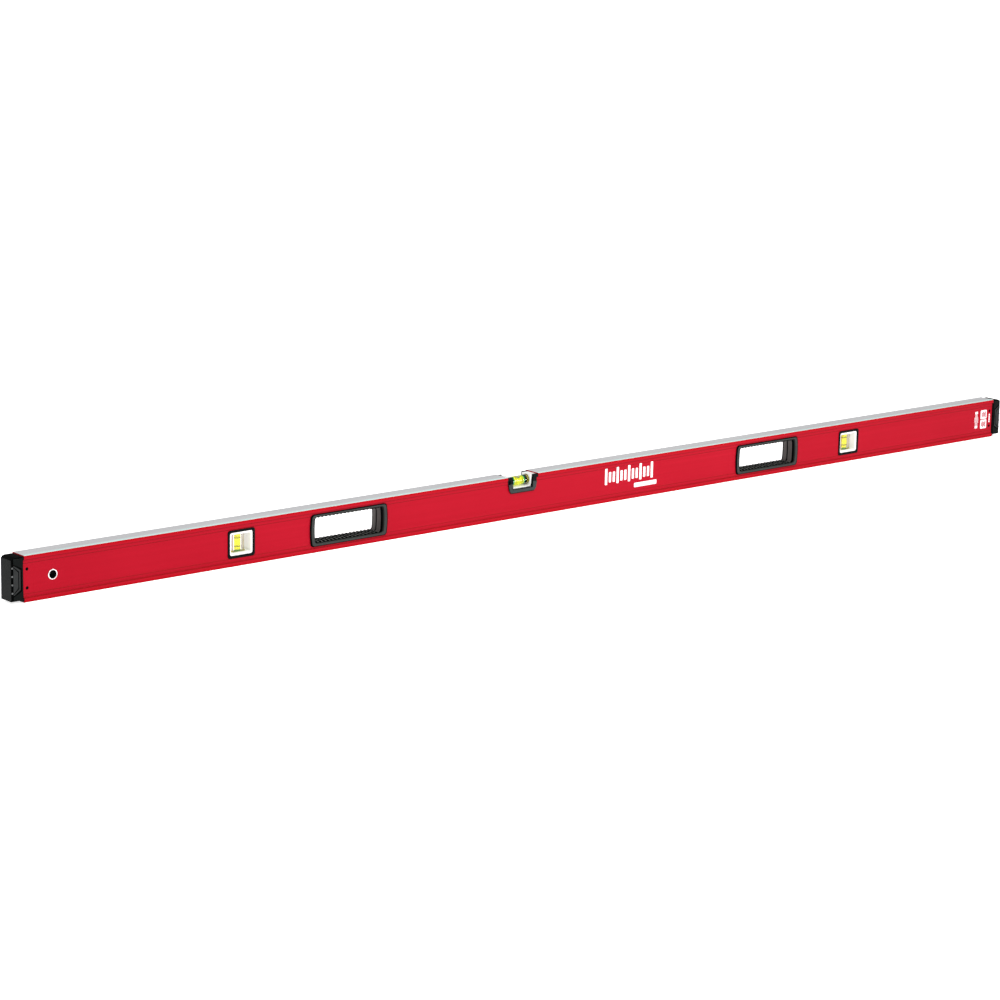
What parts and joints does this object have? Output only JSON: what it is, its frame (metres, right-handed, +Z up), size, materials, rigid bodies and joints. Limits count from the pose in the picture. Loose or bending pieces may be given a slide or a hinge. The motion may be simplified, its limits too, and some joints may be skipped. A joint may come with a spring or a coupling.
{
  "type": "spirit level",
  "caption": "Long red box-beam spirit level with black hand holds, square windows for upright vials, a top notch with a level vial, and rubber end bumpers.",
  "frame": {"origin": "bottom centre of the whole level, on its lower milled edge", "axes": "+X along the beam from the end with the hang hole to the other end, -Y is the front face, +Z up to the edge with the top notch"},
  "size_m": [1.831, 0.027, 0.06],
  "materials": {
    "beam_paint": "red powder coat over extruded aluminium, with bare milled top and bottom edges",
    "bright_ring": "bright satin",
    "black_plastic": "moulded black plastic",
    "grip_plastic": "soft charcoal moulding",
    "white_plastic": "white moulded plastic",
    "clear_acrylic": "polished clear acrylic",
    "vial_plug": "green stopper",
    "dark_plug": "dark green stopper",
    "vial_ring": "printed black ring",
    "vial_liquid": "bright yellow-green liquid",
    "air": "air bubble",
    "bezel_plastic": "charcoal moulded plastic",
    "spring_steel": "thin blackened spring steel",
    "bumper_rubber": "black shock-absorbing rubber"
  },
  "bodies": {
    "beam": {"frame": "beam_paint", "hang_hole_front_ring": "bright_ring", "hang_hole_rear_ring": "bright_ring", "hang_hole_sleeve": "black_plastic", "left_hold_front_shell": "grip_plastic", "left_hold_rear_shell": "grip_plastic", "right_hold_front_shell": "grip_plastic", "right_hold_rear_shell": "grip_plastic", "left_plumb_front_bezel": "black_plastic", "left_plumb_rear_bezel": "black_plastic", "left_plumb_carrier": "white_plastic", "left_plumb_block": "clear_acrylic", "left_plumb_plug": "vial_plug", "left_plumb_rings": "vial_ring", "left_plumb_fluid": "vial_liquid", "right_plumb_front_bezel": "black_plastic", "right_plumb_rear_bezel": "black_plastic", "right_plumb_carrier": "white_plastic", "right_plumb_block": "clear_acrylic", "right_plumb_plug": "vial_plug", "right_plumb_rings": "vial_ring", "right_plumb_fluid": "vial_liquid", "level_front_bezel": "bezel_plastic", "level_rear_bezel": "bezel_plastic", "level_carrier": "white_plastic", "level_tube": "clear_acrylic", "level_plugs": "dark_plug", "level_tube_ends": "clear_acrylic", "level_rings": "vial_ring", "level_fluid": "vial_liquid"},
    "left_cap": {"left_end_plug": "black_plastic", "left_end_clip": "spring_steel", "left_end_bumper": "bumper_rubber"},
    "right_cap": {"right_end_plug": "black_plastic", "right_end_clip": "spring_steel", "right_end_bumper": "bumper_rubber"},
    "left_plumb_air": {"left_plumb_bubble": "air"},
    "right_plumb_air": {"right_plumb_bubble": "air"},
    "level_air": {"level_bubble": "air"}
  },
  "joints": [
    {"name": "left_cap_slide", "type": "slide", "parent": "beam", "child": "left_cap", "axis": [-1, 0, 0], "range_m": [0, 0.045], "deforming": ["left_end_clip"]},
    {"name": "right_cap_slide", "type": "slide", "parent": "beam", "child": "right_cap", "axis": [1, 0, 0], "range_m": [0, 0.045], "deforming": ["right_end_clip"]},
    {"name": "level_bubble_run", "type": "slide", "parent": "beam", "child": "level_air", "axis": [1, 0, 0], "range_m": [-0.0043, 0.0043], "stiffness_N_per_m": 6, "deforming": ["level_fluid"]},
    {"name": "left_plumb_bubble_run", "type": "slide", "parent": "beam", "child": "left_plumb_air", "axis": [0, 0, 1], "range_m": [-0.0145, 0], "stiffness_N_per_m": 6, "springref_m": 0.002, "deforming": ["left_plumb_fluid"]},
    {"name": "right_plumb_bubble_run", "type": "slide", "parent": "beam", "child": "right_plumb_air", "axis": [0, 0, 1], "range_m": [-0.0145, 0], "stiffness_N_per_m": 6, "springref_m": 0.002, "deforming": ["right_plumb_fluid"]}
  ]
}
